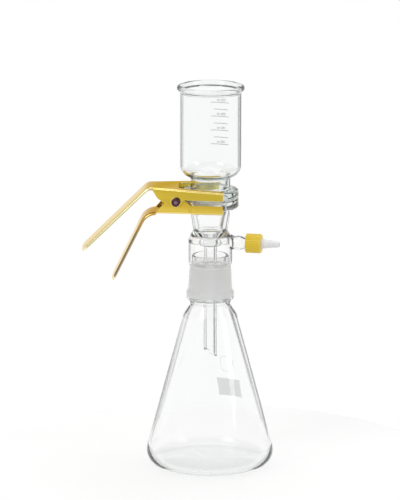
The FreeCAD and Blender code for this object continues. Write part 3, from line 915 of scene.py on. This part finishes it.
# %% [markdown]
# The frame is a thin band between two rounded rectangles. Its long sides need points of their
# own, because a straight edge between two corners would cut into the round wall, so there is one
# on each millimetre.

# %% Print the flask's frame
FRAME_BEARING, FRAME_Z = 65.5, 103.2
FRAME_INSIDE, FRAME_OUTSIDE = (15, 17.6, 4), (16.2, 18.8, 4.6)
CORNER_STEPS = 6


def rounded_ring(wide, tall, rounding):
    """A rectangle with round corners and a point on each millimetre of its sides."""
    corners = []
    for quarter, (right, top) in enumerate(((1, 1), (-1, 1), (-1, -1), (1, -1))):
        for i in range(CORNER_STEPS + 1):
            angle = math.pi / 2 * (quarter + i / CORNER_STEPS)
            corners.append(Vector((
                right * (wide / 2 - rounding) + rounding * math.cos(angle),
                FRAME_Z + top * (tall / 2 - rounding) + rounding * math.sin(angle))))
    points = []
    for here, there in zip(corners, corners[1:] + corners[:1]):
        pieces = max(1, round((there - here).length))
        points += [here.lerp(there, i / pieces) for i in range(pieces)]
    return points


inside, outside = rounded_ring(*FRAME_INSIDE), rounded_ring(*FRAME_OUTSIDE)
bm = bmesh.new()
rings = [[bm.verts.new(on_flask(x, z, lift, FRAME_BEARING)) for x, z in ring]
         for ring, lift in ((inside, -PRINT_HEIGHT), (outside, -PRINT_HEIGHT),
                            (outside, PRINT_HEIGHT), (inside, PRINT_HEIGHT))]
for ring, following in zip(rings, rings[1:] + rings[:1]):
    for j in range(len(ring)):
        k = (j + 1) % len(ring)
        bm.faces.new((ring[j], ring[k], following[k], following[j]))
print("frame", len(bm.faces), "faces")

# %% [markdown]
# The patch is one grid with a square on each millimetre. Its corner points are pulled onto round
# corners, the sheet is extruded to its thickness, and then all of it is wrapped onto the wall.

# %% Print the flask's writing patch
PATCH_BEARING, PATCH_Z = 65.0, 75.0
PATCH_SIZE, PATCH_ROUNDING = Vector((29.5, 21)), 2

sheet = bmesh.ops.create_grid(bm, x_segments=29, y_segments=21, size=0.5)["verts"]
for vert in sheet:
    x, z = vert.co.x * PATCH_SIZE.x, vert.co.y * PATCH_SIZE.y
    past = Vector((max(abs(x) - PATCH_SIZE.x / 2 + PATCH_ROUNDING, 0),
                   max(abs(z) - PATCH_SIZE.y / 2 + PATCH_ROUNDING, 0)))
    if past.length > PATCH_ROUNDING:
        pull = past * (PATCH_ROUNDING / past.length - 1)
        x, z = x + math.copysign(pull.x, x), z + math.copysign(pull.y, z)
    vert.co = (x, z, -PRINT_HEIGHT)
faces = list({face for vert in sheet for face in vert.link_faces})
grown = bmesh.ops.extrude_face_region(bm, geom=faces, use_keep_orig=True)["geom"]
raised = [item for item in grown if isinstance(item, bmesh.types.BMVert)]
bmesh.ops.translate(bm, verts=raised, vec=(0, 0, 2 * PRINT_HEIGHT))
for vert in sheet + raised:
    vert.co = on_flask(vert.co.x, PATCH_Z + vert.co.y, vert.co.z, PATCH_BEARING)
bmesh.ops.remove_doubles(bm, verts=bm.verts, dist=0.002 * MM)
bmesh.ops.recalc_face_normals(bm, faces=bm.faces)
marking = as_piece("flask_marking", bm, UNIT_BODY, weighted=False)
finish_of(marking, pale_enamel)

# %% [markdown]
# ## Clamp
#
# The jaws are stamped from aluminium sheet and bent, each into a flat web with a skirt down both
# sides and a handle behind. Their shape in the frame is already right, and drawing it again
# would risk a fit that works. So a copy of each mesh is merged, its flat facets are dissolved,
# and every sharp stamped edge is eased by a fine bevel, which catches the light as a real edge
# does. The moulded pieces further down are eased in the same way.

# %% Ease the edges of a measured piece
MERGE_DISTANCE = 0.005 * MM
FLAT_ANGLE = math.radians(0.5)
HARD_ANGLE = math.radians(40)


def eased(name, node, body, width):
    bm = bmesh.new()
    bm.from_mesh(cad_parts[node].data)
    bmesh.ops.remove_doubles(bm, verts=bm.verts, dist=MERGE_DISTANCE)
    bmesh.ops.dissolve_limit(bm, angle_limit=FLAT_ANGLE, use_dissolve_boundaries=False,
                             verts=bm.verts, edges=bm.edges, delimit=set())
    hard = [e for e in bm.edges if e.is_manifold and e.calc_face_angle() > HARD_ANGLE]
    bmesh.ops.bevel(bm, geom=hard, offset=width * MM, offset_type="OFFSET", segments=2,
                    profile=0.5, affect="EDGES", material=-1, clamp_overlap=True)
    bmesh.ops.dissolve_degenerate(bm, edges=bm.edges, dist=SPECK)
    return as_piece(name, bm, body, node, sharp=24, weighted=False)


print("measured pieces can be eased")

# %% [markdown]
# ## Gold anodising
#
# Anodising is a clear oxide grown on the aluminium and dyed gold, so the metal still shines
# through. The dye is strong on the jaws' skirts, with a faint cloudy tone and a warmer gold lower
# down. The other changes are painted light: a painted highlight along the long bends, round the
# rivet and low on the skirts, painted light on the faces that look inwards, a painted pale sheen
# on the handles with deeper gold on their side lips, painted shade on the lower handle's lips, at
# the joggle step and in a dark line along the lip, and a painted brown reflection in the throat
# between the handles. An image could be painted for this, but masks made of distances stay sharp
# at any size. They are measured along the jaws, across them, and from the rivet and the bends.

# %% Measure the jaws
PIN = Vector((-37.8, 0, 300))
JAW_SLOPE = 0.0314
JAW_SPREAD = 0.25
HANDLE_SPLIT = 1.1
LOWER_NARROWER = 1.8 * MM
HANDLE_BEND = mm(-71.4, 284.85)
HANDLE_NORMAL = (-0.8973, 0.4415)


def pin_distance(shader):
    """How far a point is from the rivet's axis."""
    along, across, height = shader.axes(shader.place())
    along, up = along - PIN.x * MM, height - PIN.z * MM
    return (along * along + up * up).call("SQRT")


gold_anodised, shader = new_material("gold_anodised")
along, across, height = shader.axes(shader.place())
half_across = across.call("ABSOLUTE")
lift = (height - PIN.z * MM).call("ABSOLUTE") + along * JAW_SLOPE
width = half_across - along * JAW_SPREAD
from_pin = pin_distance(shader)
depth = (height - HANDLE_BEND[1]) * HANDLE_NORMAL[1] + (along - HANDLE_BEND[0]) * HANDLE_NORMAL[0]
print("jaws measured from the rivet at", tuple(PIN))

# %% [markdown]
# Each mask is a product of steps and bands, named for the place that it covers or for the painted
# light that it carries. `lift` is the distance from the plane between the jaws and finds the long
# bends, which get a painted highlight. `width` finds the faces that look inwards, which get
# painted light. A band of distance from the rivet is a painted highlight ring round it. At the
# rivet the lower jaw nests inside the upper one, and the small step where it comes out to the
# full width gets painted shade. `depth` runs square to the lower handle and finds a painted dark
# line of shade along its lip. The colours are then laid over each other in order, the painted
# light over the dyed gold.

# %% Mix the gold
# Painted highlight: the skirts turn a lighter gold towards their lower edges.
low_skirt_highlight = 1 - height.ramp(*mm(290.5, 296.5))
# Painted highlight: a pale line along the long bends between web and skirts.
bend_highlight = lift.band(mm(10.4, 11.2), mm(12.4, 12.8)) * along.ramp(*mm(-62, -56))
# Painted highlight: a pale ring on the gold round the rivet.
rivet_ring_highlight = from_pin.band(mm(4.6, 5.0), mm(5.5, 6.1))
# Painted shade: the small step where the lower jaw comes out to the full width is darkened.
joggle_shade = along.band(mm(-25.4, -24.0), mm(-20.6, -19.2)) * (
    1 - height.ramp(*mm(298.5, 299.5))) * (1 - lift.ramp(*mm(10.4, 11.0)))
# Painted light: the faces that look inwards are made paler, against the shade they sit in.
inside = (1 - width.ramp(*mm(33.4, 34.2))) * (1 - lift.ramp(*mm(11.3, 12.0))) * (
    along.ramp(*mm(-19, -17)))
handle = 1 - along.ramp(*mm(-80, -58))
lower = 1 - (height - along * HANDLE_SPLIT).ramp(*mm(362, 370))
side = (half_across + lower * LOWER_NARROWER).ramp(*mm(15.0, 16.0))
# Painted shade: a dark line along the lower handle's lip.
lip_shade_line = lower * side * depth.band(mm(-1.5, -1.1), mm(-0.1, 0.2))
# Painted reflection: a brown tone at the lower handle's root, where it faces the gold above it.
throat_reflection = lower * along.band(mm(-84, -74), mm(-60, -56))

cloud = shader.noise(45, 4.0)
brush = shader.noise(900, 2.0)
bright = shader.mix(cloud, (0.76, 0.54, 0.05, 1), (0.80, 0.59, 0.065, 1))
warm = shader.mix(cloud, (0.80, 0.53, 0.05, 1), (0.84, 0.57, 0.06, 1))
colour = shader.mix(height.ramp(*mm(297.5, 298.5)), warm, bright)
for mask, tone in (
    # Painted light and shade, laid in order over the dyed gold.
    (low_skirt_highlight * 0.8, (0.98, 0.72, 0.11)),
    (bend_highlight, (0.88, 0.72, 0.26)),
    (rivet_ring_highlight * 0.6, (0.95, 0.82, 0.30)),
    (joggle_shade * 0.8, (0.58, 0.40, 0.05)),
    (inside, (0.90, 0.80, 0.30)),
    # Painted sheen: the handles are made a pale cream gold.
    (handle * 0.95, (0.93, 0.88, 0.71)),
    # Painted shading: the handles' side lips keep a deeper gold than their tops.
    (handle * side, (0.86, 0.77, 0.41)),
    # Painted shade: the lower handle's side lips are a greyish brown.
    (handle * side * lower, (0.60, 0.48, 0.34)),
    # Painted shade: the dark line along the lower handle's lip.
    (handle * lip_shade_line, (0.22, 0.15, 0.06)),
    # Painted reflection: the brown of the throat between the handles.
    (throat_reflection * 0.8, (0.66, 0.40, 0.08)),
):
    colour = shader.mix(mask, colour, (*tone, 1))
# On the inward faces the painted light also halves the metal, so they take more of the room's
# even light.
shader.finish(shader.add(
    "BsdfPrincipled", Base_Color=colour, Metallic=1 - inside * 0.5,
    Roughness=brush * 0.05 + 0.2, Normal=shader.relief(brush, 0.02, 0.2 * MM),
    Specular_Tint=(0.92, 0.70, 0.28, 1), Coat_Roughness=0.12, Coat_IOR=1.5,
    Coat_Weight=handle * 0.35 + 0.15))
print("gold mixed")

# %% [markdown]
# The two jaws cross at the rivet and turn about it, each on its own body, and both stand for
# their measured nodes.

# %% Make the jaws
JAW_EDGE = 0.22

upper_jaw = eased("clamp_upper", "clamp_upper_jaw", "upper_jaw", JAW_EDGE)
lower_jaw = eased("clamp_lower", "clamp_lower_jaw", "lower_jaw", JAW_EDGE)
finish_of(upper_jaw, gold_anodised)
finish_of(lower_jaw, gold_anodised)

# %% [markdown]
# The rivet is peened over at both ends and coloured dark, and its domed heads get a painted
# highlight in the middle, a lighter spot where the dome would mirror the light. The same distance
# from the axis that placed the painted highlight ring on the gold round it finds that spot.

# %% Make the rivet
RIVET_EDGE = 0.15
DOME_HIGHLIGHT_SPOT = mm(1.3, 2.6)

dark_rivet, shader = new_material("dark_rivet")
cloud = shader.noise(400, 3.0)
# Painted highlight: the middle of each domed head is lighter, where the dome would mirror the
# light.
dome_highlight = 1 - pin_distance(shader).ramp(*DOME_HIGHLIGHT_SPOT)
colour = shader.mix(cloud, (0.055, 0.022, 0.030, 1), (0.12, 0.055, 0.065, 1))
colour = shader.mix(dome_highlight * 0.75, colour, (0.42, 0.30, 0.36, 1))
shader.finish(shader.add("BsdfPrincipled", Base_Color=colour, Metallic=1.0,
                         Roughness=cloud * 0.15 + 0.25))
rivet = eased("clamp_pin", "clamp_rivet", UNIT_BODY, RIVET_EDGE)
finish_of(rivet, dark_rivet)

# %% [markdown]
# ## Torsion spring
#
# Squeezing the handles winds the spring tighter. It is made as two halves that meet in the middle
# of the coil, each with one leg. A curve with a round bevel would draw the wire in fewer lines,
# but a spun disc with a straight leg extruded from its end keeps every ring of the wire square to
# its path.

# %% Wind half of the coil
COIL_RADIUS, WIRE_RADIUS, COIL_PITCH, COIL_TURNS = 4.2, 0.9, 2.0, 5
LEG_ANGLE, LEG_LENGTH, LEG_PORTIONS = math.radians(18), 17.5, 4
WIRE_SIDES, STEPS_PER_TURN = 14, 40
WIRE_END_ROUNDING = 0.25


def turn(bm, angle, axis):
    bmesh.ops.rotate(bm, verts=bm.verts, cent=(0, 0, 0), matrix=Matrix.Rotation(angle, 3, axis))


def wound_wire():
    """Half of the coil, wound round Z from its middle, and one straight leg."""
    lean = math.pi / 2 - LEG_ANGLE
    sweep = math.tau * COIL_TURNS / 2 + lean
    climb = COIL_PITCH * sweep / math.tau
    steps = int(sweep / math.tau * STEPS_PER_TURN)
    bm = bmesh.new()
    bmesh.ops.create_circle(bm, cap_ends=True, segments=WIRE_SIDES, radius=WIRE_RADIUS * MM)
    turn(bm, math.pi / 2, "X")
    bmesh.ops.translate(bm, verts=bm.verts, vec=(COIL_RADIUS * MM, 0, 0))
    turn(bm, math.pi, "Z")
    swept = bmesh.ops.spin(bm, geom=list(bm.faces), cent=(0, 0, 0), axis=(0, 0, 1),
                           dvec=(0, 0, climb * MM / steps), angle=sweep, steps=steps,
                           use_merge=False, use_duplicate=False)
    last = [item for item in swept["geom_last"] if isinstance(item, bmesh.types.BMFace)]
    along_leg = Vector((-math.sin(lean), math.cos(lean), 0))
    for _ in range(LEG_PORTIONS):
        grown = bmesh.ops.extrude_face_region(bm, geom=last)
        last = [item for item in grown["geom"] if isinstance(item, bmesh.types.BMFace)]
        moved = {vert for face in last for vert in face.verts}
        bmesh.ops.translate(bm, verts=list(moved), vec=along_leg * LEG_LENGTH * MM / LEG_PORTIONS)
    bmesh.ops.bevel(bm, geom=[edge for face in last for edge in face.edges],
                    offset=WIRE_END_ROUNDING * MM, offset_type="OFFSET", segments=2,
                    profile=0.5, affect="EDGES", material=-1)
    return bm


print("coil", COIL_TURNS, "turns of wire", 2 * WIRE_RADIUS, "mm thick")

# %% [markdown]
# The coil was wound round Z. Turning it round X lays it along the rivet, and the far half is the
# near half turned half a turn about the handles' direction, so one shape serves both. Drawn wire
# is bright, with fine streaks that the die leaves, so noise moves only its roughness.

# %% Make the spring's two halves
drawn_wire, shader = new_material("drawn_wire")
streak = shader.noise(1500, 2.0)
shader.finish(shader.add("BsdfPrincipled", Base_Color=(0.52, 0.52, 0.54, 1), Metallic=1.0,
                         Roughness=streak * 0.15 + 0.22))


def half_spring(name, side):
    """Half of the coil and one leg: side is 1 for the leg under the upper jaw."""
    stand = Matrix.Rotation(math.pi / 2, 4, "X")
    if side < 0:
        stand = Matrix.Rotation(math.pi, 4, "X") @ stand
    bm = wound_wire()
    bmesh.ops.transform(bm, matrix=Matrix.Translation(PIN * MM) @ stand, verts=bm.verts)
    bmesh.ops.recalc_face_normals(bm, faces=bm.faces)
    half = as_piece(name, bm, None, "clamp_spring", weighted=False)
    finish_of(half, drawn_wire)
    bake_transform(half)


half_spring("spring_upper_half", 1)
half_spring("spring_lower_half", -1)

# %% [markdown]
# ## Cap, seal and hose nozzle
#
# The cap is moulded in yellow plastic with fine grip ribs. The nozzle is a white moulding with
# barbs that hold the hose, and a soft ring seals it to the end of the glass. The ribs and barbs
# are in the measured shapes, so the cap and the nozzle only get their edges eased, and the ring
# is turned like the glass. The moulded surfaces keep a trace of the mould's spark-eroded grain.

# %% Make the cap, the seal and the nozzle
CAP_EDGE, NOZZLE_EDGE = 0.12, 0.08
SEAL_INNER, SEAL_OUTER, SEAL_FROM, SEAL_TO, SEAL_ROUNDING = 4.4, 6.8, 52.15, 54.05, 0.3

yellow_plastic = mottled("yellow_plastic", 260, (0.80, 0.58, 0.035), (0.84, 0.63, 0.05), 0.36,
                         grain=(1800, 2.0, 0.08))
white_plastic = mottled("white_plastic", 300, (0.78, 0.79, 0.79), (0.83, 0.84, 0.84), 0.34,
                        grain=(1500, 2.0, 0.06))
seal_silicone = mottled("seal_silicone", 500, (0.62, 0.62, 0.60), (0.70, 0.70, 0.68), 0.6,
                        detail=2.0)

cap = eased("side_cap", "screw_cap", "cap", CAP_EDGE)
finish_of(cap, yellow_plastic)
seal = as_piece("side_seal", on_arm(spun(outline([
    (r, z, SEAL_ROUNDING) for r, z in (
        (SEAL_INNER, SEAL_FROM), (SEAL_OUTER, SEAL_FROM),
        (SEAL_OUTER, SEAL_TO), (SEAL_INNER, SEAL_TO))]), steps=64)),
    "nozzle", "seal_ring")
finish_of(seal, seal_silicone)
nozzle = eased("side_nozzle", "hose_nozzle", "nozzle", NOZZLE_EDGE)
finish_of(nozzle, white_plastic)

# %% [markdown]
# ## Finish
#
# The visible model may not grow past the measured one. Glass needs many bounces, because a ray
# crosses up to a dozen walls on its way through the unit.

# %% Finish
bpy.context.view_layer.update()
scene = bpy.context.scene
scene.view_settings.view_transform = "Standard"
scene.cycles.max_bounces = 32
scene.cycles.transmission_bounces = 28
